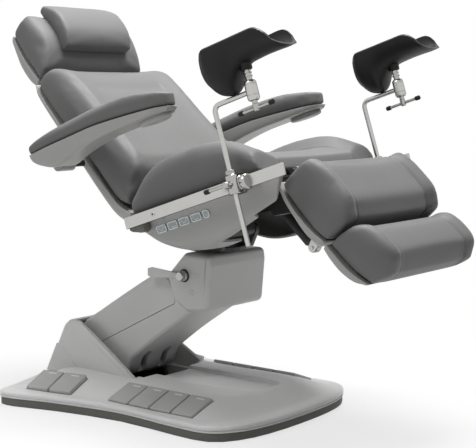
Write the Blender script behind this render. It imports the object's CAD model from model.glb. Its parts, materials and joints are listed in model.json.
import json
import math

import bmesh
import bpy
import numpy as np
from mathutils import Matrix, Vector

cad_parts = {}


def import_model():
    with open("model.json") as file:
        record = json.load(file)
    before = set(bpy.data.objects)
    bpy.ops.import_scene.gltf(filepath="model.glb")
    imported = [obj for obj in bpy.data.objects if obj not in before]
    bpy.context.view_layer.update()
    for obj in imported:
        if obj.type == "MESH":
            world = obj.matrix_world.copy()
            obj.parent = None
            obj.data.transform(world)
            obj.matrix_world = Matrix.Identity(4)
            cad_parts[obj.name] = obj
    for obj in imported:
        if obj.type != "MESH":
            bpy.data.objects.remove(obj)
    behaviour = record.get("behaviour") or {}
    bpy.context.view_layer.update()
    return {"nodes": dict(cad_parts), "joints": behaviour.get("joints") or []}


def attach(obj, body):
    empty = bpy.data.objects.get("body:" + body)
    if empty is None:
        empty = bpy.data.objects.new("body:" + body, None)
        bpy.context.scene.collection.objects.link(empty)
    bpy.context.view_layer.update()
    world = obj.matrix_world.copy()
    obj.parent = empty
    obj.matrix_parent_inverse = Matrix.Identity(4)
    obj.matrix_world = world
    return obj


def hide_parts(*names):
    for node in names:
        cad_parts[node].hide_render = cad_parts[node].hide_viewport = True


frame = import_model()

# Angles of the groups at rest, in degrees: how far each group's X axis rises
SEAT_TILT = 17.8
BACK_LEAN = 43.5
ARMREST_RISE = 17.0
LEG_FALL = -48.0
LIFT_RISE = 32.6

# Camera, fitted to the photograph (pixels of its 476 by 448 frame)
PHOTO_WIDTH = 476
FOCAL_PIXELS = 1216.0
SENSOR_WIDTH = 36.0
CAMERA_PLACE = (2.4178, -2.7349, 0.92)
CAMERA_PITCH = 6.06
CAMERA_AZIMUTH = 38.3

# Soft pieces
VOXEL = 0.007
SMALL_VOXEL = 0.0055
SWELL = 0.003
SWELL_CAP = 0.004
CLOTH_FRAMES = 14
CLOTH_PRESSURE = 4.0
CLOTH_QUALITY = 4
SMOOTHING = 0.5
EVEN_STEPS = 6
SETTLE_STEPS = 8
HELD_FACING = 0.6
END_STEPS = 4
SEAM_WIDTH = 0.0045
SEAM_DEPTH = 0.0035

# Stage: lamps have a place, a size and a power
AMBIENT = 0.13
LAMPS = {"key": ((0.35, 0.3, 3.6), 2.0, 185.0), "side": ((-0.3, -2.3, 3.2), 1.4, 36.0)}
LAMP_TARGET = (0.1, 0.0, 0.5)
FLOOR_RADIUS = 14.0
FLOOR_GREY = 0.80
SHADOW_REACH = (0.55, 1.5)
SHADOW_GLOW = 0.72
WHITE = (1.0, 1.0, 1.0, 1.0)

# Edges that turn by more than these angles, in degrees, stay crisp in the shading
CREASE = 35.0
FINE_CREASE = 30.0
HOUSING_CREASE = 32.0
SHELL_CREASE = 40.0
TROUGH_CREASE = 45.0
ROUND_CREASE = 50.0
SOFT_CREASE = 60.0

SIDES = ((-1, "right"), (1, "left"))

joints = {joint["name"]: joint for joint in frame["joints"]}


def joint_place(name, rise):
    """Frame on a joint, with X rising by some degrees in the plane of symmetry."""
    return Matrix.Translation(joints[name]["pos_m"]) @ Matrix.Rotation(-math.radians(rise), 4, "Y")


BACK_HINGE_V = -0.017
WORLD = Matrix.Identity(4)
SEAT = joint_place("back_recline", SEAT_TILT) @ Matrix.Translation((0.0, 0.0, -BACK_HINGE_V))
BACK = joint_place("back_recline", BACK_LEAN)
HEAD = joint_place("head_tilt", BACK_LEAN)
LEG = joint_place("leg_raise", LEG_FALL)
LIFT = joint_place("lift", LIFT_RISE)
CARRIER = joint_place("carrier_level", 0.0)


# Curves

def curve_at(points, t):
    """Point at share t of a smooth curve through a few chosen points."""
    place = min(max(t, 0.0), 1.0) * (len(points) - 1)
    index = min(int(place), len(points) - 2)
    t = place - index
    p1 = Vector(points[index])
    p2 = Vector(points[index + 1])
    p0 = Vector(points[index - 1]) if index > 0 else p1 * 2 - p2
    p3 = Vector(points[index + 2]) if index + 2 < len(points) else p2 * 2 - p1
    return 0.5 * (2 * p1 + (p2 - p0) * t + (2 * p0 - 5 * p1 + 4 * p2 - p3) * t * t
                  + (3 * p1 - p0 - 3 * p2 + p3) * t ** 3)


def open_curve(points, steps):
    return [tuple(curve_at(points, step / steps)) for step in range(steps + 1)]


def closed_curve(points, steps):
    """Smooth closed curve through a few chosen points."""
    count = len(points)
    result = []
    for index in range(count):
        near = [Vector(points[(index + shift) % count]) for shift in (-1, 0, 1, 2)]
        result += [curve_at(near, (1 + step / steps) / 3) for step in range(steps)]
    return result


def smooth_step(value, low, high):
    t = min(max((value - low) / (high - low), 0.0), 1.0)
    return t * t * (3 - 2 * t)


def arc(x, z, radius, start, end, steps):
    turns = [math.radians(start + (end - start) * step / steps) for step in range(steps + 1)]
    return [(x + radius * math.cos(turn), z + radius * math.sin(turn)) for turn in turns]


def circle(radius, steps):
    turns = [2 * math.pi * step / steps for step in range(steps)]
    return [(radius * math.cos(turn), radius * math.sin(turn)) for turn in turns]


# Mesh helpers

def put(name, data):
    """New object in the scene."""
    made = bpy.data.objects.new(name, data)
    bpy.context.scene.collection.objects.link(made)
    return made


def new_object(name, data, place=WORLD, smooth_angle=CREASE):
    """Object from a bmesh in local coordinates, with its mesh moved to its place."""
    bmesh.ops.recalc_face_normals(data, faces=data.faces)
    mesh = bpy.data.meshes.new(name)
    data.to_mesh(mesh)
    data.free()
    mesh.transform(place)
    mesh.shade_smooth()
    mesh.set_sharp_from_angle(angle=math.radians(smooth_angle))
    return put(name, mesh)


def ring_mesh(rings, looped=False):
    """Skin over rings of equal count, closed by a face at each end unless it is looped."""
    data = bmesh.new()
    rows = [[data.verts.new(point) for point in ring] for ring in rings]
    pairs = list(zip(rows, rows[1:]))
    if looped:
        pairs.append((rows[-1], rows[0]))
    for low, high in pairs:
        for index in range(len(low)):
            after = (index + 1) % len(low)
            data.faces.new((low[index], low[after], high[after], high[index]))
    if not looped:
        data.faces.new(rows[0])
        data.faces.new(rows[-1])
    return data


def loft(name, rings, place=WORLD, smooth_angle=CREASE):
    return new_object(name, ring_mesh(rings), place, smooth_angle)


def prism(name, side, y_low, y_high, place=WORLD):
    return loft(name, [[(x, y, z) for x, z in side] for y in (y_low, y_high)], place)


def plate(name, outline, z_low, z_high, place=WORLD):
    return loft(name, [[(x, y, z) for x, y in outline] for z in (z_low, z_high)], place)


def block(name, low, high, place=WORLD):
    outline = [(low[0], low[1]), (high[0], low[1]), (high[0], high[1]), (low[0], high[1])]
    return plate(name, outline, low[2], high[2], place)


def sweep(name, path, radii, place=WORLD, steps=24):
    """Round bar along a path, with one radius per point or one for all."""
    path = [Vector(point) for point in path]
    if isinstance(radii, float):
        radii = [radii] * len(path)
    rings = []
    side = None
    for index, point in enumerate(path):
        direction = path[min(index + 1, len(path) - 1)] - path[max(index - 1, 0)]
        direction.normalize()
        if side is None:
            side = direction.orthogonal().normalized()
        side = (side - direction * side.dot(direction)).normalized()
        across = direction.cross(side)
        rings.append([point + (side * x + across * y) * radii[index] for x, y in circle(1.0, steps)])
    return loft(name, rings, place)


def lathe(name, start, axis, profile, place, steps=32):
    """Turned piece: the profile lists reaches along the axis and radii."""
    path = [[value + share * reach for value, share in zip(start, axis)] for reach, radius in profile]
    made = sweep(name, path, [radius for reach, radius in profile], place, steps)
    reshade(made, FINE_CREASE)
    return made


def rod_y(name, x, z, radius, y_low, y_high, place=WORLD, steps=32):
    return prism(name, arc(x, z, radius, 0, 360 - 360 / steps, steps - 1), y_low, y_high, place)


def span(side, first, second):
    """Two distances from the middle, as the low and the high Y on one side."""
    return sorted((side * first, side * second))


def apply_modifiers(target):
    bpy.context.view_layer.update()
    graph = bpy.context.evaluated_depsgraph_get()
    mesh = bpy.data.meshes.new_from_object(target.evaluated_get(graph), depsgraph=graph)
    target.modifiers.clear()
    target.data = mesh


def modify(target, kind, **settings):
    step = target.modifiers.new(kind, kind)
    for name, value in settings.items():
        setattr(step, name, value)
    return step


def combine(target, tools, operation):
    """Boolean of an object with several tools, which are used up."""
    for tool in tools:
        modify(target, "BOOLEAN", object=tool, operation=operation, solver="EXACT")
    apply_modifiers(target)
    for tool in tools:
        bpy.data.objects.remove(tool, do_unlink=True)


def cut(target, *tools):
    combine(target, tools, "DIFFERENCE")


def fuse(target, *tools):
    combine(target, tools, "UNION")


def soften(target, width, segments=4, angle=28.0):
    """Round the sharp edges."""
    modify(target, "BEVEL", width=width, segments=segments, limit_method="ANGLE",
           angle_limit=math.radians(angle))
    apply_modifiers(target)


def reshade(target, angle=CREASE):
    target.data.shade_smooth()
    target.data.set_sharp_from_angle(angle=math.radians(angle))


def dress(piece, body, finish, nodes=(), angle=None):
    """Give a finished piece its shading, material, body, slot and the nodes that it stands for."""
    if angle:
        reshade(piece, angle)
    piece.data.materials.clear()
    piece.data.materials.append(material(finish))
    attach(piece, body)
    if nodes:
        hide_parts(*nodes)
    return piece


# Materials

def feed(tree, socket, value):
    """Set an input to a value, or link it to another node's output."""
    if isinstance(value, bpy.types.NodeSocket):
        tree.links.new(value, socket)
    else:
        socket.default_value = value


def feed_named(tree, node, inputs):
    for name, value in inputs.items():
        feed(tree, node.inputs[name.replace("_", " ")], value)


def add_node(tree, kind, *values, operation=None, **inputs):
    """New node with its inputs given in their order or by name."""
    node = tree.nodes.new("ShaderNode" + kind)
    if operation:
        node.operation = operation
    for socket, value in zip(node.inputs, values):
        feed(tree, socket, value)
    feed_named(tree, node, inputs)
    return node


class Look:
    """Small builder for a material with textures."""

    def __init__(self, name, colour, roughness, metallic=0.0):
        self.material = bpy.data.materials.new(name)
        self.material.use_nodes = True
        self.tree = self.material.node_tree
        self.colour = colour
        self.shade(Base_Color=(*colour, 1.0), Roughness=roughness, Metallic=metallic)
        self.coords = self.add("TexCoord", "Object")

    def shade(self, **inputs):
        feed_named(self.tree, self.tree.nodes["Principled BSDF"], inputs)

    def add(self, kind, output, **inputs):
        return add_node(self.tree, kind, **inputs).outputs[output]

    def stretched(self, scale):
        return self.add("Mapping", "Vector", Vector=self.coords, Scale=scale)

    def noise(self, scale, detail=3.0, vector=None):
        return self.add("TexNoise", "Fac", Vector=vector or self.coords, Scale=scale, Detail=detail)

    def cells(self, scale):
        return self.add("TexVoronoi", "Distance", Vector=self.coords, Scale=scale)

    def tint(self, value, amount):
        """Vary the base colour by a share of itself."""
        ramp = add_node(self.tree, "ValToRGB", value)
        for element, share in zip(ramp.color_ramp.elements, (1 - amount, 1 + amount)):
            element.color = (*[channel * share for channel in self.colour], 1.0)
        self.shade(Base_Color=ramp.outputs["Color"])

    def rough(self, value, low, high):
        self.shade(Roughness=self.add("MapRange", "Result", Value=value, To_Min=low, To_Max=high))

    def bump(self, *heights, distance=0.0003):
        """Chain of bumps, one over another."""
        under = {}
        for height, strength in heights:
            inputs = {"Height": height, "Strength": strength, "Distance": distance, **under}
            under = {"Normal": self.add("Bump", "Normal", **inputs)}
        self.shade(**under)


# Moulded finishes: colour, roughness, scale and depth of the grain
MOULDED = {
    "shell_plastic": ((0.34, 0.337, 0.330), 0.40, 1600.0, 0.12),
    "base_plastic": ((0.82, 0.82, 0.815), 0.45, 1400.0, 0.14),
    "hood_plastic": ((0.64, 0.64, 0.635), 0.45, 1400.0, 0.14),
    "arm_paint": ((0.53, 0.53, 0.525), 0.42, 1800.0, 0.12),
    "skirt_rubber": ((0.140, 0.137, 0.124), 0.70, 900.0, 0.25),
    "black_moulding": ((0.008, 0.008, 0.0083), 0.42, 700.0, 0.10),
    "black_steel": ((0.016, 0.016, 0.017), 0.48, 2200.0, 0.15),
    "keypad_film": ((0.30, 0.52, 0.54), 0.35, 900.0, 0.05),
    "key_field": ((0.36, 0.37, 0.37), 0.30, 900.0, 0.05),
    "key_line": ((0.74, 0.86, 0.88), 0.35, 900.0, 0.05),
    "white_mark": ((0.80, 0.80, 0.79), 0.40, 900.0, 0.08),
}
# Metals: colour, lowest and highest roughness, stretch of the drawing marks
METALS = {
    "stainless": ((0.52, 0.515, 0.50), 0.26, 0.32, (40.0, 900.0, 900.0)),
    "chrome": ((0.42, 0.415, 0.40), 0.06, 0.16, (300.0, 300.0, 300.0)),
    "zinc_steel": ((0.45, 0.45, 0.46), 0.35, 0.5, (500.0, 500.0, 500.0)),
}
# Finishes that shine less than the others: level of specular reflection
DULL = {"black_moulding": 0.25}
MADE = {}


def upholstery(name):
    """Grey synthetic leather with a fine pebble grain."""
    look = Look(name, (0.128, 0.128, 0.127), 0.58)
    look.tint(look.noise(9.0, 4.0), 0.06)
    look.rough(look.noise(60.0), 0.53, 0.63)
    look.bump((look.cells(620.0), 0.22), (look.noise(1500.0, 2.0), 0.10))
    look.shade(Specular_IOR_Level=0.36, Sheen_Weight=0.06)
    return look.material


def pedal_plastic(name):
    """Plastic with a coarse grip grain."""
    look = Look(name, (0.48, 0.48, 0.475), 0.55)
    look.tint(look.noise(30.0, 3.0), 0.05)
    look.bump((look.cells(420.0), 0.35), (look.noise(1500.0), 0.1))
    return look.material


def moulded(name, colour, roughness, grain, depth):
    """Moulded plastic or paint with a fine texture and slight unevenness."""
    look = Look(name, colour, roughness)
    look.tint(look.noise(5.0, 3.0), 0.035)
    look.rough(look.noise(120.0), roughness - 0.05, roughness + 0.05)
    look.bump((look.noise(grain, 2.0), depth), distance=0.0002)
    if name in DULL:
        look.shade(Specular_IOR_Level=DULL[name])
    return look.material


def metal(name, colour, low, high, streak):
    """Bare metal with fine drawing marks."""
    look = Look(name, colour, low, 1.0)
    marks = look.noise(1.0, 4.0, look.stretched(streak))
    look.rough(marks, low, high)
    look.tint(look.noise(40.0), 0.04)
    look.bump((marks, 0.06), distance=0.0001)
    look.shade(Specular_Tint=(0.35, 0.35, 0.35, 1.0))
    return look.material


def material(name):
    """Material by its name, made the first time that it is asked for."""
    if name not in MADE:
        if name in MOULDED:
            MADE[name] = moulded(name, *MOULDED[name])
        elif name in METALS:
            MADE[name] = metal(name, *METALS[name])
        else:
            MADE[name] = {"upholstery": upholstery, "pedal_plastic": pedal_plastic}[name](name)
    return MADE[name]


# Padded and moulded forms between a lower and an upper side curve

ROUND_SIDE = [(0.0, 0.0), (0.50, 0.0), (0.93, 0.0), (0.985, 0.14), (1.0, 0.42), (0.99, 0.72), (0.95, 0.91)]
BOLSTERED = ROUND_SIDE + [(0.88, 0.99), (0.80, 0.985), (0.735, 0.90), (0.70, 0.845), (0.655, 0.875),
                          (0.35, 0.87), (0.0, 0.865)]
BACK_SECTION = ROUND_SIDE + [(0.88, 0.985), (0.79, 0.97), (0.70, 0.925), (0.55, 0.885), (0.35, 0.87),
                             (0.0, 0.865)]
SEAT_SECTION = [(0.0, 0.0), (0.83, 0.0), (0.93, 0.0), (0.985, 0.12), (1.0, 0.38), (0.985, 0.68), (0.93, 0.90),
                (0.86, 0.99), (0.78, 0.985), (0.70, 0.84), (0.64, 0.72), (0.57, 0.665), (0.30, 0.64),
                (0.0, 0.63)]
HEAD_PAD = [(0.0, 0.0), (0.90, 0.0), (0.985, 0.12), (1.0, 0.40), (0.99, 0.72), (0.945, 0.92), (0.86, 0.995),
            (0.74, 0.99), (0.45, 0.965), (0.0, 0.955)]
PILLOW = [(0.0, 0.0), (0.50, 0.0), (0.955, 0.0), (0.99, 0.05), (1.0, 0.18), (1.0, 0.50), (0.995, 0.80),
          (0.98, 0.94), (0.945, 0.995), (0.50, 1.0), (0.0, 1.0)]
ARM_PAD = [(0.0, 0.0), (0.50, 0.0), (0.92, 0.0), (0.985, 0.07), (1.0, 0.30), (1.0, 0.66), (0.985, 0.86),
           (0.93, 0.97), (0.80, 1.0), (0.40, 1.0), (0.0, 1.0)]
TRAY = [(0.0, 0.0), (0.70, 0.0), (0.88, 0.05), (0.965, 0.25), (0.99, 0.60), (0.988, 0.90), (0.975, 0.99),
        (0.94, 1.0), (0.50, 1.0), (0.0, 1.0)]


def end_ring(ring, inner, reach, turn):
    """Smaller copy of an end ring, set outward along a quarter circle."""
    centre = sum(ring, Vector()) / len(ring)
    inner_centre = sum(inner, Vector()) / len(inner)
    outward = (centre - inner_centre).normalized() * reach * math.sin(turn)
    length, width, height = [max(axis) - min(axis) for axis in zip(*ring)]
    shrink = 2 * reach * (1 - math.cos(turn))
    tall = 1 - shrink / max(math.hypot(height, length), reach * 3)
    wide = 1 - shrink / width
    shifts = [point - centre for point in ring]
    return [centre + outward + Vector((shift.x * tall, shift.y * wide, shift.z * tall)) for shift in shifts]


def form_rings(lower, upper, half_width, section, stations=41, steps=3, waist=0.0, end_round=0.010):
    """Rings of a form; section lists half of its cross-section as (share of half width, share of height)."""
    count = steps * (len(section) - 1)
    half = [curve_at(section, index / count) for index in range(count + 1)]
    full = [(p.x, p.y) for p in half] + [(-p.x, p.y) for p in reversed(half) if p.x > 1e-6]
    rings = []
    for station in range(stations):
        t = station / (stations - 1)
        low = curve_at(lower, t)
        high = curve_at(upper, t)
        width = half_width(t) - waist * math.sin(math.pi * t) ** 2
        points = [(low + (high - low) * h, y * width) for y, h in full]
        rings.append([Vector((point.x, y, point.y)) for point, y in points])
    turns = [math.radians(90 * step / END_STEPS) for step in range(1, END_STEPS + 1)]
    start = [end_ring(rings[0], rings[1], end_round, turn) for turn in turns]
    end = [end_ring(rings[-1], rings[-2], end_round, turn) for turn in turns]
    return start[::-1] + rings + end


def constant(value):
    return lambda t: value


def taper(start, end):
    return lambda t: start + (end - start) * t


def point_values(piece, name="co"):
    """Coordinates of a piece's points, or their normals."""
    values = np.empty(len(piece.data.vertices) * 3)
    piece.data.vertices.foreach_get(name, values)
    return values.reshape(-1, 3)


def move_points(piece, points):
    piece.data.vertices.foreach_set("co", np.ascontiguousarray(points).ravel())
    piece.data.update()


def sink(piece, depth):
    """Move each point inwards along its normal."""
    move_points(piece, point_values(piece) - point_values(piece, "normal") * depth)


def inflate(piece, held):
    """Cloth simulation under inner pressure, with each point's movement capped."""
    before = point_values(piece)
    group = piece.vertex_groups.new(name="held")
    group.add([int(index) for index in np.nonzero(held)[0]], 1.0, "REPLACE")
    cloth = modify(piece, "CLOTH")
    cloth.settings.use_pressure = True
    cloth.settings.uniform_pressure_force = CLOTH_PRESSURE
    cloth.settings.effector_weights.gravity = 0.0
    cloth.settings.vertex_group_mass = "held"
    cloth.settings.quality = CLOTH_QUALITY
    cloth.point_cache.frame_start = 1
    cloth.point_cache.frame_end = CLOTH_FRAMES
    scene = bpy.context.scene
    for step in range(1, CLOTH_FRAMES + 1):
        scene.frame_set(step)
    apply_modifiers(piece)
    scene.frame_set(1)
    piece.vertex_groups.clear()
    moved = point_values(piece) - before
    length = np.linalg.norm(moved, axis=1, keepdims=True)
    share = np.minimum(1.0, SWELL_CAP / np.maximum(length, 1e-9))
    move_points(piece, before + moved * share)


def soft_piece(name, rings, place, voxel, seams, under):
    """Cushion: remeshed form, swollen by cloth simulation, with its seams drawn in afterwards."""
    piece = loft(name, rings, place)
    carried = np.array(place.to_3x3() @ Vector(under))
    modify(piece, "REMESH", mode="VOXEL", voxel_size=voxel)
    modify(piece, "SMOOTH", factor=SMOOTHING, iterations=EVEN_STEPS)
    apply_modifiers(piece)
    sink(piece, SWELL)
    inflate(piece, point_values(piece, "normal") @ carried > HELD_FACING)
    modify(piece, "SMOOTH", factor=SMOOTHING, iterations=SETTLE_STEPS)
    apply_modifiers(piece)
    modify(piece, "SUBSURF", levels=1, render_levels=1)
    apply_modifiers(piece)
    if seams:
        inverse = place.inverted()
        local = point_values(piece) @ np.array(inverse.to_3x3()).T + np.array(inverse.translation)
        turned = point_values(piece, "normal") @ np.array(place.to_3x3())
        sink(piece, seams(local, turned)[:, None])
    piece.data.shade_smooth()
    return piece


def crease(distance, width=SEAM_WIDTH, depth=SEAM_DEPTH):
    return depth * np.exp(-(distance / width) ** 2)


def side_seams(offset):
    """Two seams along a cushion, at a distance from its middle, on the faces that don't look down."""
    def seams(local, turned):
        return crease(np.abs(local[:, 1]) - offset) * (turned[:, 2] > -0.2)
    return seams


def cushion(name, body, rings, place, voxel=VOXEL, seams=None, under=(0.0, 0.0, -1.0)):
    piece = soft_piece(name + "_cover", rings, place, voxel, seams, under)
    dress(piece, body, "upholstery", (name,))


# Upholstery

REAR = (-1.0, 0.0, 0.0)
BACK_TOP = 0.566
BACK_LINE = [(0.004, 0.036), (-0.020, 0.085), (-0.028, 0.18), (-0.036, 0.28), (-0.043, 0.40),
             (-0.045, BACK_TOP - 0.043), (-0.040, BACK_TOP)]
BACK_WIDTH = taper(0.268, 0.248)
HEAD_LINE = [(0.014, -0.030), (0.012, 0.0), (0.012, 0.060), (0.024, 0.140)]
HEAD_HALF_WIDTH = 0.220
ARMREST_LINE = [(-0.083, 0.047), (-0.045, 0.050), (0.015, 0.053), (0.095, 0.055), (0.200, 0.057),
                (0.330, 0.049), (0.451, 0.038)]
ARMREST_HALF_WIDTH = 0.0425
LEG_LINE = [(0.014, -0.026), (0.060, -0.032), (0.110, -0.033), (0.165, -0.027), (0.208, -0.015)]
LEG_HALF_WIDTH = 0.245
FOOT_LINE = [(0.222, -0.017), (0.250, -0.015), (0.290, -0.011), (0.335, -0.003), (0.362, 0.004)]
FOOT_HALF_WIDTH = 0.236


def armrest_width(t):
    """The ends are rounded in plan."""
    share = max(0.0, abs(t - 0.5) - 0.44) / 0.06
    return ARMREST_HALF_WIDTH - 0.022 * (1 - math.sqrt(1 - min(share, 1.0) ** 2))


def foot_width(t):
    return FOOT_HALF_WIDTH - 0.018 * smooth_step(t, 0.5, 1.0)


def seat_cushion():
    lower = [(0.010, 0.0), (0.12, 0.0), (0.25, 0.0), (0.37, 0.0), (0.470, 0.0)]
    upper = [(0.014, 0.060), (0.095, 0.120), (0.215, 0.135), (0.352, 0.119), (0.452, 0.070)]
    rings = form_rings(lower, upper, constant(0.288), SEAT_SECTION, waist=0.004, end_round=0.008)
    cushion("seat_cushion", "seat", rings, SEAT, seams=side_seams(0.176))


def lumbar_crease(local, turned):
    """Shallow fold across the back where the upholstery is drawn in."""
    fold = crease(local[:, 2] - 0.455 - 0.35 * local[:, 1] ** 2, 0.020, 0.0022)
    return fold * (np.abs(local[:, 1]) < 0.15) * (turned[:, 0] > 0.3)


def backrest_cushion():
    lower = [(0.006, 0.054), (-0.022, 0.105)] + BACK_LINE[2:-1] + [(-0.040, BACK_TOP + 0.001)]
    upper = [(0.060, 0.092), (0.106, 0.132), (0.102, 0.230), (0.092, 0.340), (0.084, 0.440),
             (0.067, BACK_TOP - 0.040), (0.042, BACK_TOP + 0.002)]
    rings = form_rings(lower, upper, BACK_WIDTH, BACK_SECTION, waist=0.005, end_round=0.006)
    cushion("backrest_cushion", "backrest", rings, BACK, seams=lumbar_crease, under=REAR)


def headrest_cushions():
    upper = [(0.070, -0.022), (0.096, 0.016), (0.113, 0.070), (0.112, 0.149)]
    rings = form_rings(HEAD_LINE, upper, constant(HEAD_HALF_WIDTH), HEAD_PAD, waist=0.004)
    cushion("headrest_cushion", "headrest", rings, HEAD, under=REAR)
    rear = [(0.090, 0.014), (0.098, 0.060), (0.100, 0.112), (0.102, 0.166)]
    front = [(0.128, 0.008), (0.156, 0.050), (0.159, 0.122), (0.132, 0.174)]
    rings = form_rings(rear, front, constant(0.145), PILLOW, waist=0.001, end_round=0.006)
    cushion("head_pillow", "headrest", rings, HEAD, SMALL_VOXEL, under=REAR)


def armrest_pads():
    upper = [(-0.089, 0.072), (-0.048, 0.086), (0.012, 0.097), (0.093, 0.104), (0.200, 0.110), (0.330, 0.106),
             (0.455, 0.079)]
    rings = form_rings(ARMREST_LINE, upper, armrest_width, ARM_PAD, 81, waist=0.001, end_round=0.006)
    for _, label in SIDES:
        place = joint_place(f"armrest_{label}_fold", ARMREST_RISE)
        cushion(f"armrest_pad_{label}", f"armrest_{label}", rings, place, SMALL_VOXEL)


def leg_cushions():
    lower = [(0.026, -0.0275)] + LEG_LINE[1:-1] + [(0.207, -0.0155)]
    upper = [(0.020, 0.088), (0.060, 0.100), (0.110, 0.106), (0.165, 0.107), (0.207, 0.088)]
    rings = form_rings(lower, upper, constant(LEG_HALF_WIDTH), BOLSTERED, waist=0.004, end_round=0.009)
    cushion("legrest_cushion", "legrest", rings, LEG, seams=side_seams(0.172))
    upper = [(0.229, 0.080), (0.250, 0.102), (0.300, 0.116), (0.355, 0.116), (0.388, 0.080)]
    rings = form_rings(FOOT_LINE, upper, foot_width, BOLSTERED, waist=0.003, end_round=0.006)
    cushion("footrest_cushion", "footrest", rings, LEG, seams=side_seams(0.164))


# Moulded shells behind the cushions

FIT = 0.0004
LUG_RADIUS = 0.0135
LUG_Y = 0.165
LUG_HALF_WIDTH = 0.015
HINGE_RADIUS = 0.009
ARM_SHAFT_A = 0.264
ARM_SHAFT_B = -0.047
HEAD_AXIS_A = BACK_TOP + 0.062
HEAD_AXIS_B = -0.060
HEAD_BAR_HALF = 0.045
SLIDE_BAR_Y = 0.10
SLIDE_BAR_H = -0.041
SLIDE_BAR_RADIUS = 0.007
PADDLE_X = 0.385


def tray(name, low, line, half_width, place):
    return loft(name, form_rings(low, line, half_width, TRAY, 33, 4, end_round=0.003), place, ROUND_CREASE)


def eye_bar(x_low, z_low, x_high, z_high, radius_low, radius_high):
    """Outline of a bar between two round ends."""
    lean = math.degrees(math.atan2(z_high - z_low, x_high - x_low))
    low_end = arc(x_low, z_low, radius_low, lean + 90, lean + 270, 16)
    return low_end + arc(x_high, z_high, radius_high, lean - 90, lean + 90, 16)


def hinge_lugs(outline, place):
    return [prism("lug", outline, middle - LUG_HALF_WIDTH, middle + LUG_HALF_WIDTH, place)
            for middle in (-LUG_Y, LUG_Y)]


def backrest_shell():
    low = [(-0.030, 0.010), (-0.058, 0.075), (-0.065, 0.18), (-0.065, 0.30), (-0.065, 0.42),
           (-0.063, BACK_TOP - 0.033), (-0.050, BACK_TOP - 0.001)]
    shell = tray("backrest_tray", low, BACK_LINE, BACK_WIDTH, BACK)
    fuse(shell, *hinge_lugs(eye_bar(0.0, 0.0, -0.020, 0.060, LUG_RADIUS, LUG_RADIUS), BACK))
    cut(shell, rod_y("hinge_bore", 0.0, 0.0, HINGE_RADIUS + FIT, -0.3, 0.3, BACK),
        rod_y("shaft_bore", ARM_SHAFT_B, ARM_SHAFT_A, HINGE_RADIUS + FIT, -0.4, 0.4, BACK),
        block("head_slot", (HEAD_AXIS_B - 0.003 - FIT, -HEAD_BAR_HALF - FIT, HEAD_AXIS_A - 0.219),
              (HEAD_AXIS_B + 0.003 + FIT, HEAD_BAR_HALF + FIT, 0.7), BACK))
    dress(shell, "backrest", "shell_plastic", ("backrest_shell",), angle=SHELL_CREASE)


def headrest_shell():
    low = [(-0.016, -0.043), (-0.028, 0.000), (-0.025, 0.056), (-0.002, 0.120)]
    shell = tray("headrest_tray", low, HEAD_LINE, constant(HEAD_HALF_WIDTH - 0.004), HEAD)
    pocket = [(-0.012, 0.009), (-0.012, -0.010), (-0.10, -0.10), (0.10, -0.10), (0.012, -0.010),
              (0.012, 0.009), (0.0, 0.012)]
    cut(shell, prism("pocket", pocket, -HEAD_BAR_HALF - 0.0006, HEAD_BAR_HALF + 0.0006, HEAD),
        rod_y("pin_bore", 0.0, 0.0, 0.0054, -0.0576, 0.0576, HEAD))
    dress(shell, "headrest", "shell_plastic", ("headrest_shell",), angle=SHELL_CREASE)


def paddle(place):
    """Leaf-shaped release handle under the front of an armrest."""
    heights = ((0.0105, 0.45), (0.011, 0.75), (0.013, 0.92), (0.0165, 1.0), (0.024, 0.98), (0.029, 0.90))
    rings = [[(PADDLE_X + 0.058 * x, 0.024 * y * (0.85 + 0.15 * x / share), z) for x, y in circle(share, 48)]
             for z, share in heights]
    return loft("paddle", rings, place, SOFT_CREASE)


def armrest_shells():
    low = [(-0.075, 0.030), (-0.040, 0.008), (0.020, -0.010), (0.100, 0.008), (0.205, 0.022), (0.330, 0.025),
           (0.443, 0.027)]
    for side, label in SIDES:
        place = joint_place(f"armrest_{label}_fold", ARMREST_RISE)
        shell = tray(f"armrest_tray_{label}", low, ARMREST_LINE, armrest_width, place)
        ends = span(side, 0.0005 - ARMREST_HALF_WIDTH, 0.012)
        fuse(shell, paddle(place), rod_y("boss", 0.0, 0.0, 0.019, *ends, place))
        cut(shell, rod_y("shaft_bore", 0.0, 0.0, HINGE_RADIUS + FIT, *span(side, -0.2, 0.0015), place))
        dress(shell, f"armrest_{label}", "shell_plastic", (f"armrest_shell_{label}",), angle=SHELL_CREASE)


def slide_rods(start, end, radius):
    return [sweep("slide_rod", [(start, y, SLIDE_BAR_H), (end, y, SLIDE_BAR_H)], radius, LEG)
            for y in (-SLIDE_BAR_Y, SLIDE_BAR_Y)]


def leg_shells():
    low = [(0.008, -0.036), (0.050, -0.049), (0.100, -0.054), (0.160, -0.056), (0.206, -0.046)]
    shell = tray("legrest_tray", low, LEG_LINE, constant(LEG_HALF_WIDTH - 0.003), LEG)
    fuse(shell, *hinge_lugs(eye_bar(0.0, 0.0, 0.030, -0.042, LUG_RADIUS, 0.008), LEG))
    cut(shell, rod_y("hinge_bore", 0.0, 0.0, HINGE_RADIUS + FIT, -0.3, 0.3, LEG),
        *slide_rods(0.055, 0.30, SLIDE_BAR_RADIUS + FIT))
    dress(shell, "legrest", "shell_plastic", ("legrest_shell",), angle=SHELL_CREASE)
    low = [(0.224, -0.040), (0.250, -0.0425), (0.290, -0.040), (0.335, -0.028), (0.356, -0.010)]
    shell = tray("footrest_tray", low, FOOT_LINE, foot_width, LEG)
    dress(shell, "footrest", "shell_plastic", ("footrest_shell",))
    for index, rod in enumerate(slide_rods(0.077, 0.250, SLIDE_BAR_RADIUS)):
        rod.name = f"footrest_slide_{index + 1}"
        dress(rod, "footrest", "stainless")


# Seat tub, keys and rails

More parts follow.
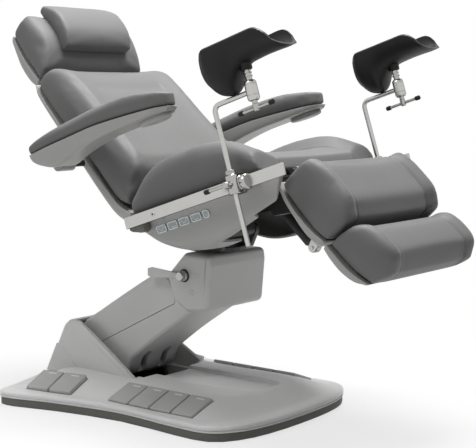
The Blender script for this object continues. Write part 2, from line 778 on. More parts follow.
SEAT_HALF_TOP = 0.272
SHELL_LOWER = [(0.016, -0.056), (0.060, -0.097), (0.130, -0.132), (0.205, -0.144), (0.285, -0.137),
               (0.365, -0.117), (0.470, -0.090)]
SHELL_UPPER_U = (-0.004, 0.060, 0.150, 0.240, 0.330, 0.420, 0.535)
SHELL_SECTION = [(0.0, 0.0), (0.66, 0.0), (0.85, 0.03), (0.925, 0.12), (0.958, 0.38), (0.986, 0.75),
                 (0.997, 0.93), (0.997, 0.985), (0.985, 1.0), (0.5, 1.0), (0.0, 1.0)]
SHELL_WALL = 0.006
OUTRIGGER_U = (0.11, 0.45)
RAIL_LENGTH = 0.566
RAIL_HEIGHT = 0.032
RAIL_OUTER_Y = 0.310
RAIL_THICKNESS = 0.010
BRACKET_INNER_Y = 0.2715
KEY_COUNT = 5
KEY_PITCH = 0.044
KEY_LENGTH = 0.036
LAST_KEY_LENGTH = 0.022
KEY_HEIGHT = 0.021
KEY_U = 0.070
KEY_V = -0.056


def seat_form(name, shrink, rise):
    lower = [(u, v + shrink) for u, v in SHELL_LOWER]
    upper = [(u, rise) for u in SHELL_UPPER_U]
    rings = form_rings(lower, upper, constant(SEAT_HALF_TOP - shrink), SHELL_SECTION, 49, 4, end_round=0.003)
    return loft(name, rings, SEAT, ROUND_CREASE)


def seat_shell():
    shell = seat_form("seat_tub", 0.0, -0.0003)
    middle = LEG_HALF_WIDTH + 0.006
    cut(shell, seat_form("hollow", SHELL_WALL, 0.02),
        block("mechanism_opening", (0.056, -0.150, -0.3), (0.60, 0.150, -0.030), SEAT),
        block("front_opening", (0.40, -middle, -0.3), (0.60, middle, 0.1), SEAT),
        block("low_opening", (0.26, -0.236, -0.3), (0.60, 0.236, -0.030), SEAT),
        block("rear_opening", (-0.1, -0.199, -0.3), (0.034, 0.199, 0.1), SEAT),
        *[rod_y("outrigger_hole", u, -RAIL_HEIGHT / 2, 0.0083, -0.4, 0.4, SEAT) for u in OUTRIGGER_U])
    return dress(shell, "seat", "shell_plastic", ("seat_shell",), angle=SHELL_CREASE)


def key_outline(start, length, grow):
    """Rounded field of one key, in seat coordinates; the last key is a half field with a round front."""
    low = KEY_V - KEY_HEIGHT / 2 - grow
    high = KEY_V + KEY_HEIGHT / 2 + grow
    rear = start - grow
    front = start + length + grow
    near = 0.005 + grow
    far = 0.0095 + grow if length < KEY_LENGTH else near
    points = []
    for u, v, radius, turn in ((front, low, far, 270), (front, high, far, 0), (rear, high, near, 90),
                               (rear, low, near, 180)):
        x = u - radius if turn in (270, 0) else u + radius
        z = v + radius if turn in (270, 180) else v - radius
        points += arc(x, z, radius, turn, turn + 90, 8)
    return points


def on_flank(shell, points, proud):
    """Points of the seat's side plane laid on the shell's right flank, some way out of it."""
    inverse = SEAT.inverted()
    result = []
    for u, v in points:
        start = SEAT @ Vector((u, -0.4, v))
        spot = shell.ray_cast(start, SEAT.to_3x3() @ Vector((0.0, 1.0, 0.0)))[1]
        result.append(Vector((u, (inverse @ spot).y - proud, v)))
    return result


def flank_strip(name, shell, outer, inner, looped):
    """Thin raised band between two lines on the flank."""
    edges = ((outer, 0.0005), (outer, 0.0032), (inner, 0.0034), (inner, 0.0005))
    lines = [on_flank(shell, points, proud) for points, proud in edges]
    return new_object(name, ring_mesh(list(zip(*lines)), looped), SEAT, FINE_CREASE)


def key_sign(index, start, length):
    """Plain strokes inside a key: a back, a seat and a leg line that lean differently from key to key."""
    middle = start + length / 2
    reach = length * 0.26
    lean = (0.004, -0.004, 0.006, -0.002, 0.003)[index]
    return [(middle - reach, KEY_V + 0.006), (middle - reach * 0.4 + lean * 0.3, KEY_V - 0.004),
            (middle + reach * 0.5, KEY_V - 0.004 + lean * 0.5), (middle + reach, KEY_V + lean)]


def seat_keys(shell):
    """Film keys on the right flank: one plain field, a pale outline and a few strokes each."""
    bpy.context.view_layer.update()
    for index in range(KEY_COUNT):
        start = KEY_U + KEY_PITCH * index
        length = KEY_LENGTH if index < KEY_COUNT - 1 else LAST_KEY_LENGTH
        outer = key_outline(start, length, 0.0)
        inner = key_outline(start, length, -0.0024)
        field = flank_field(f"key_field_{index + 1}", shell, start, length)
        dress(field, "seat", "key_field", ("seat_keypad",) if index == 0 else ())
        ring = flank_strip(f"key_outline_{index + 1}", shell, outer, inner, True)
        dress(ring, "seat", "key_line")
        sign = key_sign(index, start, length)
        line = flank_strip(f"key_sign_{index + 1}", shell, [(u, v + 0.0008) for u, v in sign],
                           [(u, v - 0.0008) for u, v in sign], False)
        dress(line, "seat", "key_line")


def flank_field(name, shell, start, length):
    """Film of one key: rings that follow the flank."""
    rings = [on_flank(shell, key_outline(start, length, grow), proud)
             for grow, proud in ((0.0, 0.0004), (0.0, 0.0026), (-0.003, 0.0026))]
    return new_object(name, ring_mesh(rings), SEAT, FINE_CREASE)


def disc(name, profile, steps, place):
    """Turned head on the place's Z axis: radii and heights."""
    rings = [[(x, y, z) for x, y in circle(radius, steps)] for radius, z in profile]
    return loft(name, rings, place, FINE_CREASE)


def screw(name, body, place, radius, finish):
    """Domed screw head with a dark socket."""
    profile = ((radius, 0.0), (radius, 0.0008), (radius * 0.86, 0.0018), (radius * 0.55, 0.0022),
               (radius * 0.52, 0.0010))
    dress(disc(name, profile, 24, place), body, finish)
    socket = plate(name + "_socket", circle(radius * 0.44, 6), 0.0008, 0.0012, place)
    dress(socket, body, "black_moulding")


def facing(frame_place, point, side):
    """Place on a side face, with Z pointing out of it."""
    return frame_place @ Matrix.Translation(point) @ Matrix.Rotation(math.radians(-side * 90), 4, "X")


def side_rail(side, label):
    ends = span(side, RAIL_OUTER_Y, RAIL_OUTER_Y - RAIL_THICKNESS)
    rail = block(f"rail_bar_{label}", (0.0, ends[0], -RAIL_HEIGHT), (RAIL_LENGTH, ends[1], 0.0), SEAT)
    soften(rail, 0.0012, 3)
    dress(rail, "seat", "stainless", (f"side_rail_{label}",), angle=CREASE)
    place = facing(SEAT, (OUTRIGGER_U[0], side * RAIL_OUTER_Y, -RAIL_HEIGHT / 2), side)
    screw(f"rail_screw_{label}", "seat", place, 0.0065, "stainless")
    rail_bracket(side, label)


def rail_bracket(side, label):
    """Dark bracket behind the rail's rear end, beside the back's hinge."""
    outline = [(0.003, -0.010), (0.056, -0.010), (0.056, -0.050), (0.044, -0.053), (0.012, -0.043),
               (0.003, -0.037)]
    ends = span(side, BRACKET_INNER_Y, RAIL_OUTER_Y - RAIL_THICKNESS + 0.0005)
    bracket = prism(f"rail_bracket_{label}", outline, *ends, SEAT)
    soften(bracket, 0.002, 3)
    dress(bracket, "seat", "skirt_rubber", angle=CREASE)


# Base

BASE_HALF_OUTLINE = [(0.495, 0.0), (0.488, 0.14), (0.462, 0.245), (0.40, 0.315), (0.28, 0.322), (0.07, 0.311),
                     (-0.15, 0.345), (-0.295, 0.385), (-0.351, 0.377), (-0.371, 0.30), (-0.41, 0.17),
                     (-0.445, 0.0)]
OUTLINE_STEPS = 8
DECK_CENTRE_X = 0.02
DECK_TOP = 0.088
ARM_OPENING = (-0.345, 0.008, 0.134)
CHANNEL = (0.008, 0.37, 0.074, 0.03)
PAD_PITCH = 0.080
PAD_RIB = 0.0036
PAD_DEPTH = 0.096
PAD_PROUD = 0.012
PAD_THICKNESS = 0.0185
PAD_TILT = 20.0
PAD_GROUPS = ((2, -0.292, 0.276, 0.063, 11.5), (4, 0.004, 0.236, 0.059, 0.0))


def base_outline(inset):
    mirrored = [(x, -y) for x, y in reversed(BASE_HALF_OUTLINE[1:-1])]
    points = closed_curve(BASE_HALF_OUTLINE + mirrored, OUTLINE_STEPS)
    result = []
    for index, point in enumerate(points):
        tangent = points[(index + 1) % len(points)] - points[index - 1]
        result.append(point + Vector((-tangent.y, tangent.x)).normalized() * inset)
    return result


def deck_ring(share_x, share_y, z, inset):
    return [(DECK_CENTRE_X + (p.x - DECK_CENTRE_X) * share_x, p.y * share_y, z) for p in base_outline(inset)]


def pad_group_place(side, group):
    """Frame in the middle of a row of pads, with Z along their travel."""
    count, start, centre_y, z, turn = group
    plan = Matrix.Rotation(math.radians(-side * turn), 4, "Z")
    lean = Matrix.Rotation(math.radians(-side * PAD_TILT), 4, "X")
    return Matrix.Translation((start + PAD_PITCH * count / 2, side * centre_y, z)) @ plan @ lean


def base_cover():
    lip = [(0.0263, 0.0014), (0.0275, 0.0), (0.0312, 0.0), (0.0318, 0.0036), (0.0338, 0.0036), (0.0344, 0.0),
           (0.0400, 0.0), (0.0420, 0.0005), (0.0438, 0.0018), (0.0450, 0.0040), (0.0458, 0.0070),
           (0.0462, 0.0100)]
    rings = [deck_ring(1.0, 1.0, z, inset) for z, inset in lip]
    deck = [(1.0, 1.0, 0.0464), (0.93, 0.90, 0.049), (0.86, 0.72, 0.068), (0.79, 0.55, 0.0835),
            (0.72, 0.42, DECK_TOP)]
    rings += [deck_ring(*curve_at(deck, step / 24), 0.012) for step in range(25)]
    cover = loft("base_deck", rings)
    rear, front, half = ARM_OPENING
    tools = [block("arm_opening", (rear, -half, 0.0), (front, half, 0.2)), channel(),
             shroud_form("shroud_seat", 0.0003, 0.0597)]
    for side in (-1, 1):
        for group in PAD_GROUPS:
            half_x = group[0] * PAD_PITCH / 2 - PAD_RIB / 2 + 0.0022
            half_y = PAD_DEPTH / 2 + 0.0022
            tools.append(block("well", (-half_x, -half_y, -0.0108), (half_x, half_y, 0.06),
                               pad_group_place(side, group)))
    cut(cover, *tools)
    dress(cover, "base", "base_plastic", ("base_cover",), angle=HOUSING_CREASE)


def channel():
    """Long recess of the deck in front of the arm, with softly sloping walls."""
    rear, front, half, radius = CHANNEL
    rings = []
    for z, grow in ((DECK_TOP - 0.0115, -0.004), (DECK_TOP - 0.0105, -0.0015), (DECK_TOP - 0.003, 0.0),
                    (DECK_TOP - 0.0008, 0.0015), (DECK_TOP + 0.0002, 0.004), (DECK_TOP + 0.05, 0.004)):
        ring = []
        for x, y, turn in ((front - radius, radius - half, -90), (front - radius, half - radius, 0),
                           (rear - radius, half - radius, 90), (rear - radius, radius - half, 180)):
            ring += [(px, py, z) for px, py in arc(x, y, radius + grow, turn, turn + 90, 10)]
        rings.append(ring)
    return loft("channel", rings)


def base_skirt():
    """Rubber edge round the chassis."""
    section = ((0.0112, 0.0040), (0.0050, 0.0035), (0.0034, 0.0050), (0.0030, 0.0080), (0.0030, 0.0225),
               (0.0036, 0.0250), (0.0055, 0.0257), (0.0112, 0.0257))
    lines = [[(p.x, p.y, z) for p in base_outline(inset)] for inset, z in section]
    band = new_object("base_band", ring_mesh(list(zip(*lines)), looped=True), smooth_angle=ROUND_CREASE)
    dress(band, "base", "skirt_rubber", ("base_skirt",))


def foot_pads():
    half_x = (PAD_PITCH - PAD_RIB) / 2
    half_y = PAD_DEPTH / 2
    for side, label in SIDES:
        number = 0
        for group in PAD_GROUPS:
            for index in range(group[0]):
                number += 1
                shift = PAD_PITCH * (index + 0.5 - group[0] / 2)
                place = pad_group_place(side, group) @ Matrix.Translation((shift, 0.0, 0.0))
                name = f"foot_pad_{label}_{number}"
                pad = block(f"pad_{label}_{number}", (-half_x, -half_y, PAD_PROUD - PAD_THICKNESS),
                            (half_x, half_y, PAD_PROUD), place)
                soften(pad, 0.004, 5)
                dress(pad, name, "pedal_plastic", (name,), angle=CREASE)
                pad_mark(name, side, place)


def pad_mark(name, side, place):
    """White strip near the inner edge of a pad."""
    inner = 0.012 - PAD_DEPTH / 2
    ends = span(side, inner, inner + 0.005)
    mark = block(name + "_mark", (-0.008, ends[0], PAD_PROUD - 0.001), (0.020, ends[1], PAD_PROUD + 0.0004),
                 place)
    soften(mark, 0.0004, 2)
    dress(mark, name, "white_mark")


# Lift arm and its housings

SHROUD_BOTTOM = 0.060
SHROUD_TOP = 0.228
SHROUD_SLOPE = -0.140 / 0.238
LIFT_HALF_WIDTH = 0.110
LIFT_LENGTH = 0.42
LIFT_INNER = LIFT_HALF_WIDTH - 0.014
PIN_RADIUS = 0.0128
SPLIT_LINE = [(-0.093, 0.043), (0.032, 0.030), (0.352, -0.004), (0.380, 0.028), (0.47, 0.030)]
SPLIT_GAP = 0.0009
CARRIER_HALF_WIDTH = 0.131
CARRIER_TOP = 0.1157


def fillet(points, radius, steps=6):
    """Outline with its corners rounded."""
    result = []
    for index, point in enumerate(points):
        corner = Vector(point)
        before = Vector(points[index - 1]) - corner
        after = Vector(points[(index + 1) % len(points)]) - corner
        turning = math.pi - before.angle(after)
        reach = min(radius * math.tan(turning / 2), before.length * 0.48, after.length * 0.48)
        start = corner + before.normalized() * reach
        end = corner + after.normalized() * reach
        for step in range(steps + 1):
            t = step / steps
            result.append(start * (1 - t) ** 2 + corner * 2 * t * (1 - t) + end * t * t)
    return result


def drawn_in(outline, inset, held):
    """Outline moved inwards, apart from the first held points."""
    area = sum(a[0] * b[1] - b[0] * a[1] for a, b in zip(outline, outline[1:] + outline[:1]))
    turn = 1 if area > 0 else -1
    result = []
    for index, point in enumerate(outline):
        along = Vector(outline[(index + 1) % len(outline)]) - Vector(outline[index - 1])
        inward = Vector((-along.y, along.x)).normalized() * turn
        result.append(Vector(point) + inward * (0.0 if index < held else inset))
    return result


def edge_steps(radius, steps=6):
    """Steps from one side face to the other over rounded edges: side, inset and distance below the face."""
    turns = [math.radians(90 * step / steps) for step in range(steps + 1)]
    return [(direction, radius * (1 - math.cos(turn)), radius * (1 - math.sin(turn)))
            for direction in (-1, 1) for turn in turns[::direction]]


def rounded_prism(name, outline, half, radius, place=WORLD, held=0, middle=0.0):
    """Prism between two side faces whose edges are rounded, apart from those along the held points."""
    rings = [[(p.x, middle + direction * (half - drop), p.y) for p in drawn_in(outline, inset, held)]
             for direction, inset, drop in edge_steps(radius)]
    return loft(name, rings, place, SHELL_CREASE)


def shroud_half(z):
    return 0.162 - 0.021 * (z - SHROUD_BOTTOM) / (SHROUD_TOP - SHROUD_BOTTOM)


def shroud_form(name, grow, bottom, radius=0.006):
    """Hood over the arm's foot: side outline with rounded corners and flat, leaning sides."""
    toe = -0.25 + (bottom - SHROUD_TOP) / SHROUD_SLOPE
    side = [(-0.378, bottom), (toe, bottom), (-0.25, SHROUD_TOP), (-0.302, SHROUD_TOP), (-0.322, 0.210),
            (-0.350, 0.14)]
    outline = side[:2] + [tuple(p) for p in fillet(side, 0.030)[14:]]
    rings = [[(p.x, direction * (shroud_half(p.y) + grow - drop), p.y)
              for p in drawn_in(outline, inset - grow, 2)] for direction, inset, drop in edge_steps(radius)]
    return loft(name, rings, WORLD, SHELL_CREASE)


def arm_shroud():
    hood = shroud_form("arm_hood", 0.0, SHROUD_BOTTOM, 0.014)
    wall = 0.010
    roof = SHROUD_TOP - 0.007
    side = [(-0.368, 0.0), (0.3, 0.0), (0.3, 0.4), (-0.275, 0.4), (-0.275, roof), (-0.300, roof),
            (-0.312, 0.206), (-0.340, 0.14)]
    rings = [[(x, direction * (shroud_half(min(max(z, 0.0), SHROUD_TOP)) - wall), z) for x, z in side]
             for direction in (-1, 1)]
    cut(hood, loft("hollow", rings))
    dress(hood, "base", "hood_plastic", ("arm_shroud",), angle=HOUSING_CREASE)
    for direction, label in SIDES:
        shroud_rim(direction, label)
        shroud_flare(direction, label)


def leaning_plate(name, points, direction):
    """Thin plate on a leaning side of the shroud; each point has its own height over the side."""
    rings = [[(x, direction * (shroud_half(z) - 0.004), z) for x, z, rise in points],
             [(x, direction * (shroud_half(z) + rise), z) for x, z, rise in points]]
    made = loft(name, rings)
    soften(made, 0.0015, 3)
    dress(made, "base", "hood_plastic", angle=CREASE)


def shroud_rim(direction, label):
    """Raised band along the front edge of the hood."""
    along = Vector((0.238, -0.140)).normalized()
    back = Vector((along.y, -along.x)) * 0.016
    start = Vector((-0.243, 0.2235)) + along * 0.004
    end = Vector((-0.012, 0.0877)) + along * 0.012
    points = [(p.x, p.y, 0.0030) for p in (start, end, end + back, start + back)]
    leaning_plate(f"shroud_rim_{label}", points, direction)


def shroud_flare(direction, label):
    """Low facet at the rear of the hood's side that leans further out."""
    points = [(-0.370, 0.066, 0.0110), (-0.345, 0.150, 0.0010), (-0.326, 0.147, 0.0010),
              (-0.222, 0.070, 0.0050)]
    leaning_plate(f"shroud_flare_{label}", points, direction)


def slot_tool(side):
    """Long oval hole in the arm's lower face."""
    outline = arc(0.116, side * 0.045, 0.013, -90, 90, 16) + arc(0.067, side * 0.045, 0.013, 90, 270, 16)
    return plate("slot", outline, -0.2, -0.03, LIFT)


def arm_casting():
    """Lower half of the arm, with its slots and pin bores."""
    tail = [(0.386, -0.056), (0.33, -0.056), (0.251, -0.057), (0.17, -0.062), (0.105, -0.070),
            (0.070, -0.094), (0.04, -0.097), (0.0, -0.090), (-0.06, -0.070), (-0.092, -0.020)]
    lower = arc(LIFT_LENGTH, 0.0, 0.058, 28, -100, 24) + open_curve(tail, 45)
    split = [(x, z - SPLIT_GAP) for x, z in SPLIT_LINE]
    casting = rounded_prism("arm_casting", split + lower, LIFT_HALF_WIDTH, 0.012, LIFT, len(split))
    hollow = [(0.042, -0.20), (0.046, -0.085), (0.064, -0.082), (0.10, -0.057), (0.17, -0.049),
              (0.251, -0.044), (0.36, -0.043), (0.36, 0.2), (-0.2, 0.2), (-0.2, -0.20)]
    cut(casting, prism("hollow", hollow, -LIFT_INNER, LIFT_INNER, LIFT), slot_tool(-1), slot_tool(1),
        *[rod_y("bore", x, 0.0, PIN_RADIUS, -0.2, 0.2, LIFT) for x in (0.0, LIFT_LENGTH)])
    dress(casting, "lift_arm", "arm_paint", ("lift_arm_casting",), angle=HOUSING_CREASE)


def arm_cover():
    """Upper half of the arm."""
    split = [(x, z + SPLIT_GAP) for x, z in SPLIT_LINE[:4]]
    crown = [(0.375, 0.060), (0.365, 0.082), (0.345, 0.097), (0.30, 0.109), (0.06, 0.1164), (-0.02, 0.115),
             (-0.060, 0.084), (-0.088, 0.052)]
    outline = split + open_curve(crown, 40)
    cover = rounded_prism("arm_cover", outline, LIFT_HALF_WIDTH, 0.010, LIFT, len(split))
    inside = [(-0.073, -0.1), (0.5, -0.1), (0.5, 0.05), (0.355, 0.083), (0.34, 0.087), (0.295, 0.098),
              (0.062, 0.1055), (-0.016, 0.104), (-0.052, 0.076), (-0.076, 0.048)]
    cut(cover, prism("inside", inside, -LIFT_INNER, LIFT_INNER, LIFT))
    dress(cover, "lift_arm", "arm_paint", ("lift_arm_cover",), angle=HOUSING_CREASE)


def lift_arm():
    arm_casting()
    arm_cover()
    half = LIFT_INNER - 0.002
    liner = block("arm_liner", (0.050, -half, -0.046), (0.150, half, -0.042), LIFT)
    dress(liner, "lift_arm", "black_steel")
    for side, label in SIDES:
        place = facing(LIFT, (0.046, side * LIFT_HALF_WIDTH, -0.030), side)
        screw(f"arm_screw_{label}", "lift_arm", place, 0.006, "arm_paint")


def carrier_housing():
    top = CARRIER_TOP
    side = [(-0.042, -0.026), (-0.070, 0.045), (-0.002, top), (0.096, top), (0.101, 0.084), (0.089, -0.045),
            (0.041, -0.053), (0.004, -0.055)]
    outline = [tuple(p) for p in fillet(side, 0.022)]
    housing = rounded_prism("carrier_hood", outline, CARRIER_HALF_WIDTH, 0.018, CARRIER)
    inner = CARRIER_HALF_WIDTH - 0.0135
    pocket = [(-0.2, -0.2), (0.076, -0.2), (0.078, -0.045), (0.088, 0.084), (0.086, top - 0.012),
              (0.0, top - 0.012), (-0.012, top - 0.016), (-0.2, top - 0.016)]
    cut(housing, prism("pocket", pocket, -inner, inner, CARRIER),
        rod_y("bore", 0.0, 0.0, PIN_RADIUS, -0.1273, 0.1273, CARRIER))
    fin = arc(-0.045, 0.045, 0.014, 180, 360, 16) + [(0.012, top - 0.005), (-0.010, top - 0.005)]
    fuse(housing, prism("fin", fin, -0.0156, -0.0086, CARRIER), prism("fin", fin, 0.0086, 0.0156, CARRIER),
         rod_y("link_pin", -0.045, 0.045, 0.006, -0.012, 0.012, CARRIER))
    dress(housing, "carrier", "arm_paint", ("carrier_housing",), angle=HOUSING_CREASE)
    for side, label in SIDES:
        for number, (x, z) in enumerate(((0.048, 0.052), (0.030, 0.004)), 1):
            plug(f"carrier_plug_{label}_{number}", facing(CARRIER, (x, side * CARRIER_HALF_WIDTH, z), side))


def plug(name, place):
    """Flat cap over a screw hole of the housing."""
    profile = ((0.0085, -0.001), (0.0085, 0.0002), (0.0080, 0.0007), (0.0066, 0.0009), (0.0062, 0.0003))
    dress(disc(name, profile, 30, place), "carrier", "arm_paint")


def swivel_lever():
    """Brake paddle with a chromed knob and a dark ring behind it."""
    place = CARRIER @ Matrix.Translation((0.002, 0.0, 0.050))
    near = -CARRIER_HALF_WIDTH - 0.0003
    far = near - 0.009
    outline = arc(0.0, 0.0, 0.014, 140, -140, 24)
    outline += [(-0.0224, -0.007), (-0.1206, -0.015), (-0.134, -0.0105), (-0.134, 0.0105), (-0.1206, 0.015),
                (-0.0224, 0.007)]
    blade = rounded_prism("lever_blade", outline, 0.0045, 0.002, place, 0, (near + far) / 2)
    dress(blade, "swivel_lever", "arm_paint", ("swivel_lever",))
    turned = ((-0.001, 0.008), (0.004, 0.008), (0.0045, 0.0115), (0.006, 0.0135), (0.0125, 0.0135),
              (0.0150, 0.0124), (0.0163, 0.0100), (0.0164, 0.0082), (0.0140, 0.0076))
    knob = lathe("lever_knob", (0.0, far, 0.0), (0.0, -1.0, 0.0), turned, place)
    dress(knob, "swivel_lever", "chrome")
    socket = sweep("lever_knob_socket", [(0.0, far - 0.0130, 0.0), (0.0, far - 0.0144, 0.0)], 0.0070, place)
    dress(socket, "swivel_lever", "black_moulding")
    ring_path = [(0.0, near - reach, 0.0) for reach in (0.0002, 0.0016, 0.0024)]
    ring = sweep("lever_ring", ring_path, [0.0185, 0.0185, 0.0175], place, 40)
    dress(ring, "swivel_lever", "black_moulding")


# Knee crutches

CRUTCH_Y = 0.332
CRUTCH_U = (0.420, 0.447)
SLEEVE_REACH = 0.129
ROD_RADIUS = 0.0066
ROD_BEND_V = 0.19
ROD_BEND_RADIUS = 0.018
STEM_RADIUS = 0.0085
EYE_RADIUS = 0.0165
T_BAR_V = 0.146
T_BAR_HALF = 0.046
CAP_RADIUS = 0.0065
GOBLET_WALL = 0.007
GOBLET_HALF_WIDTH = 0.066
GOBLET_RINGS = [(-0.108, 0.228, -0.097, 0.300, 0.86), (-0.086, 0.204, -0.080, 0.3165, 1.0),
                (-0.050, 0.198, -0.052, 0.3185, 1.0), (-0.031, 0.230, -0.026, 0.3185, 1.0),
                (-0.004, 0.255, 0.002, 0.3185, 1.0), (0.046, 0.261, 0.046, 0.3185, 1.0),
                (0.091, 0.261, 0.091, 0.317, 0.98), (0.123, 0.260, 0.115, 0.300, 0.91),
                (0.143, 0.262, 0.127, 0.280, 0.76)]


def upright(name, u, y, profile):
    """Turned piece on an upright axis of the seat."""
    return lathe(name, (u, y, 0.0), (0.0, 0.0, 1.0), profile, SEAT)


def rod_bore(u, y):
    return upright("bore", u, y, [(v, ROD_RADIUS + FIT) for v in (-0.1, 0.1)])


def rail_clamp(side, label, u, y):
    """Clamp on the rail: a turned barrel round the rail and an eye for the rod."""
    ends = span(side, 0.2947, CRUTCH_Y - 0.004)
    clamp = block(f"clamp_body_{label}", (u - 0.016, ends[0], -0.0413), (u + 0.012, ends[1], 0.0093), SEAT)
    soften(clamp, 0.003, 4)
    middle = side * (RAIL_OUTER_Y + 0.002)
    turned = ((0.006, 0.0205), (0.0165, 0.0215), (0.018, 0.0195), (0.020, 0.0195), (0.0215, 0.0215),
              (0.030, 0.0215), (0.0345, 0.0200), (0.036, 0.0185))
    barrel = lathe("barrel", (u, middle, -RAIL_HEIGHT / 2), (1.0, 0.0, 0.0), turned, SEAT, 40)
    eye = ((-0.0413, 0.0145), (-0.0393, EYE_RADIUS), (0.007, EYE_RADIUS), (0.009, 0.0145))
    fuse(clamp, barrel, upright("eye", u, y, eye))
    slot = span(side, 0.2997, 0.3103)
    mouth = span(side, 0.19, 0.301)
    cut(clamp, block("slot", (u - 0.1, slot[0], -0.0323), (u + 0.1, slot[1], 0.0003), SEAT),
        block("mouth", (u - 0.1, mouth[0], -0.0283), (u + 0.1, mouth[1], -0.004), SEAT),
        rod_bore(u, y))
    dress(clamp, f"rail_clamp_{label}", "chrome", (f"rail_clamp_{label}",), angle=FINE_CREASE)


def clamp_collar(label, u, y):
    """Turned collar on top of the clamp."""
    collar = ((0.0093, 0.0125), (0.0103, 0.0135), (0.0150, 0.0135), (0.0156, 0.0128), (0.0168, 0.0128),
              (0.0174, 0.0135), (0.0198, 0.0135), (0.0213, 0.0118))
    ring = upright(f"collar_{label}", u, y, collar)
    cut(ring, rod_bore(u, y))
    dress(ring, f"clamp_collar_{label}", "chrome", (f"clamp_collar_{label}",), angle=FINE_CREASE)


def cap(name, body, start, end):
    """Moulded end cap of a bar, with rounded ends."""
    shares = ((0.0, 0.70), (0.06, 0.90), (0.16, 1.0), (0.80, 1.0), (0.92, 0.86), (0.985, 0.55), (1.0, 0.25))
    path = [Vector(start).lerp(Vector(end), share) for share, wide in shares]
    made = sweep(name, path, [CAP_RADIUS * wide for share, wide in shares], SEAT)
    dress(made, body, "black_moulding")


def clamp_handle(side, label, u):
    """Clamp screw with its bar lying back along the rail."""
    start = side * (CRUTCH_Y + EYE_RADIUS + 0.0003)
    v = -RAIL_HEIGHT / 2
    turned = ((0.0, 0.0088), (0.001, 0.0095), (0.0150, 0.0095), (0.0180, 0.0082), (0.0195, 0.0055),
              (0.0200, 0.0025))
    hub = lathe(f"clamp_screw_{label}", (u, start, v), (0.0, side, 0.0), turned, SEAT)
    y = start + side * 0.010
    bar = sweep("bar", [(u + 0.0185, y, v), (u + 0.018, y, v), (u + 0.017, y, v), (u - 0.062, y, v)],
                [0.0020, 0.0036, 0.0042, 0.0042], SEAT)
    fuse(hub, bar)
    body = f"clamp_handle_{label}"
    dress(hub, body, "chrome", (body,), angle=FINE_CREASE)
    cap(f"clamp_cap_{label}", body, (u - 0.058, y, v), (u - 0.076, y, v))


def crutch_rod(label, clamp_u, y):
    sleeve_u = clamp_u + SLEEVE_REACH
    path = [(clamp_u, y, -0.1780), (clamp_u, y, -0.1775), (clamp_u, y, -0.1760)]
    bend = arc(clamp_u + ROD_BEND_RADIUS, ROD_BEND_V - ROD_BEND_RADIUS, ROD_BEND_RADIUS, 180, 90, 14)
    path += [(u, y, v) for u, v in bend] + [(sleeve_u, y, ROD_BEND_V)]
    radii = [0.0048, 0.0058] + [ROD_RADIUS] * (len(path) - 2)
    rod = sweep(f"rod_{label}", path, radii, SEAT)
    sleeve = ((0.1660, 0.0125), (0.1690, 0.0150), (0.1720, 0.0160), (0.1770, 0.0160), (0.1775, 0.0152),
              (0.1790, 0.0152), (0.1795, 0.0160), (0.2050, 0.0160), (0.2055, 0.0152), (0.2070, 0.0152),
              (0.2075, 0.0160), (0.2110, 0.0160), (0.2140, 0.0150), (0.2170, 0.0125))
    fuse(rod, upright("sleeve", sleeve_u, y, sleeve))
    cut(rod, upright("bore", sleeve_u, y, ((0.15, STEM_RADIUS + FIT), (0.23, STEM_RADIUS + FIT))))
    dress(rod, f"crutch_rod_{label}", "stainless", (f"crutch_rod_{label}",), angle=FINE_CREASE)


def t_handle(label, u, y):
    turned = ((0.1380, 0.0045), (0.1385, 0.0060), (0.1410, 0.0080), (0.1560, 0.0080), (0.1570, 0.0072),
              (0.1657, 0.0072))
    hub = upright(f"t_hub_{label}", u, y, turned)
    bar = sweep("bar", [(u - T_BAR_HALF, y, T_BAR_V), (u + T_BAR_HALF, y, T_BAR_V)], 0.0042, SEAT)
    fuse(hub, bar)
    body = f"t_handle_{label}"
    dress(hub, body, "chrome", (body,), angle=FINE_CREASE)
    for number, direction in enumerate((-1, 1), 1):
        start = u + direction * (T_BAR_HALF - 0.004)
        end = start + direction * 0.016
        cap(f"t_cap_{label}_{number}", body, (start, y, T_BAR_V), (end, y, T_BAR_V))


def goblet_ring(values, u, y, steps=24):
    """One section of a leg trough, from rim to rim along the outside and back along the inside."""
    low = Vector((u + values[0], y, values[1]))
    rise = Vector((values[2] - values[0], 0.0, values[3] - values[1]))
    up = rise.normalized()
    half = GOBLET_HALF_WIDTH * values[4]
    outer = []
    inner = []
    for step in range(steps + 1):
        turn = math.pi * step / steps
        across = Vector((0.0, -math.cos(turn), 0.0))
        share = 1 - math.sin(turn) ** 0.9
        outer.append(low + rise * share + across * half)
        wall = up * GOBLET_WALL * (1 - 0.6 * share)
        inner.append(low + wall + rise * share + across * (half - GOBLET_WALL))
    rims = [(outer[index] + inner[index]) / 2 + up * 0.0022 for index in (-1, 0)]
    return outer + [rims[0]] + inner[::-1] + [rims[1]]


def goblet(label, u, y):
    """Leg trough with a moulded boss, on a chromed stem."""
    rings = [goblet_ring(curve_at(GOBLET_RINGS, step / 48), u, y) for step in range(49)]
    trough = loft(f"trough_{label}", rings, SEAT, SOFT_CREASE)
    soften(trough, 0.0022, 4, SOFT_CREASE)
    boss = upright("boss", u, y, ((0.2440, 0.0120), (0.2455, 0.0148), (0.2475, 0.0155), (0.2560, 0.0155),
                                  (0.2600, 0.0180), (0.2640, 0.0200)))
    fuse(trough, boss)
    body = f"goblet_{label}"
    dress(trough, body, "black_moulding", (body,), angle=TROUGH_CREASE)
    turned = ((0.1725, 0.0065), (0.1735, STEM_RADIUS), (0.2260, STEM_RADIUS), (0.2265, 0.0105),
              (0.2300, 0.0105), (0.2305, STEM_RADIUS), (0.2350, STEM_RADIUS), (0.2355, 0.0105),
              (0.2390, 0.0105), (0.2395, STEM_RADIUS), (0.2500, STEM_RADIUS))
    stem = upright(f"goblet_stem_{label}", u, y, turned)
    dress(stem, body, "chrome")


# Stage, light and camera

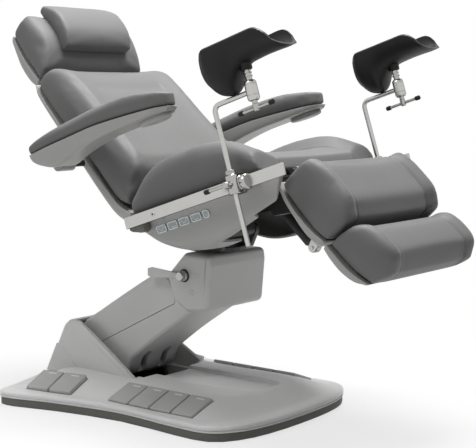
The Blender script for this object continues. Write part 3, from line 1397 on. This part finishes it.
def camera_or_mirror(tree):
    """Share that is 1 for rays that show the background, straight, mirrored or through glass."""
    rays = add_node(tree, "LightPath").outputs
    shown = rays["Is Camera Ray"]
    for name in ("Is Glossy Ray", "Is Transmission Ray"):
        shown = add_node(tree, "Math", shown, rays[name], operation="MAXIMUM").outputs[0]
    return shown


def empty_tree(owner):
    owner.use_nodes = True
    owner.node_tree.nodes.clear()
    return owner.node_tree


def show_mix(tree, share, first, second, output):
    """Mix two shaders by a share and send the result to the output."""
    mix = add_node(tree, "MixShader", share, first.outputs[0], second.outputs[0])
    add_node(tree, output, mix.outputs[0])


def world():
    """Plain soft light all round, and a white background."""
    made = bpy.data.worlds.new("studio")
    bpy.context.scene.world = made
    tree = empty_tree(made)
    ambient = add_node(tree, "Background", WHITE, AMBIENT)
    white = add_node(tree, "Background", WHITE, 1.0)
    show_mix(tree, camera_or_mirror(tree), ambient, white, "OutputWorld")


def floor():
    """Pale floor that keeps the shadow near the base and fades to white around it."""
    data = bmesh.new()
    bmesh.ops.create_circle(data, cap_ends=True, segments=96, radius=FLOOR_RADIUS)
    made = new_object("floor", data)
    look = bpy.data.materials.new("floor")
    tree = empty_tree(look)
    matt = add_node(tree, "BsdfDiffuse", (FLOOR_GREY, FLOOR_GREY, FLOOR_GREY, 1.0))
    glow = add_node(tree, "Emission", WHITE)
    coords = add_node(tree, "TexCoord").outputs["Object"]
    reach = add_node(tree, "VectorMath", coords, operation="LENGTH").outputs["Value"]
    fade = add_node(tree, "MapRange", reach, *SHADOW_REACH, SHADOW_GLOW, 1.0)
    fade.interpolation_type = "SMOOTHSTEP"
    shown = camera_or_mirror(tree)
    share = add_node(tree, "Math", fade.outputs["Result"], shown, operation="MULTIPLY")
    show_mix(tree, share.outputs[0], matt, glow, "OutputMaterial")
    made.data.materials.append(look)


def lights():
    for name, (place, size, power) in LAMPS.items():
        light = bpy.data.lights.new(name, "AREA")
        light.shape = "DISK"
        light.size = size
        light.energy = power
        made = put(name, light)
        made.location = place
        made.rotation_euler = (Vector(LAMP_TARGET) - Vector(place)).to_track_quat("-Z", "Y").to_euler()


def camera():
    data = bpy.data.cameras.new("camera")
    data.sensor_fit = "HORIZONTAL"
    data.sensor_width = SENSOR_WIDTH
    data.lens = FOCAL_PIXELS * SENSOR_WIDTH / PHOTO_WIDTH
    made = put("camera", data)
    made.location = CAMERA_PLACE
    made.rotation_euler = (math.radians(90 - CAMERA_PITCH), 0.0, math.radians(CAMERA_AZIMUTH))
    bpy.context.scene.camera = made


def carried_nodes():
    """Finish for the CAD nodes that stay."""
    for node in frame["nodes"].values():
        slot = node.data.materials[0].name.split(".")[0]
        node.data.materials[0] = material(slot)
        reshade(node)


def build():
    seat_cushion()
    backrest_cushion()
    headrest_cushions()
    armrest_pads()
    leg_cushions()
    backrest_shell()
    headrest_shell()
    armrest_shells()
    leg_shells()
    seat_keys(seat_shell())
    base_cover()
    base_skirt()
    foot_pads()
    arm_shroud()
    lift_arm()
    carrier_housing()
    swivel_lever()
    for (side, label), u in zip(SIDES, CRUTCH_U):
        y = side * CRUTCH_Y
        side_rail(side, label)
        rail_clamp(side, label, u, y)
        clamp_collar(label, u, y)
        clamp_handle(side, label, u)
        crutch_rod(label, u, y)
        t_handle(label, u + SLEEVE_REACH, y)
        goblet(label, u + SLEEVE_REACH, y)
    carried_nodes()


bpy.context.scene.view_settings.view_transform = "Standard"
camera()
world()
lights()
floor()
build()
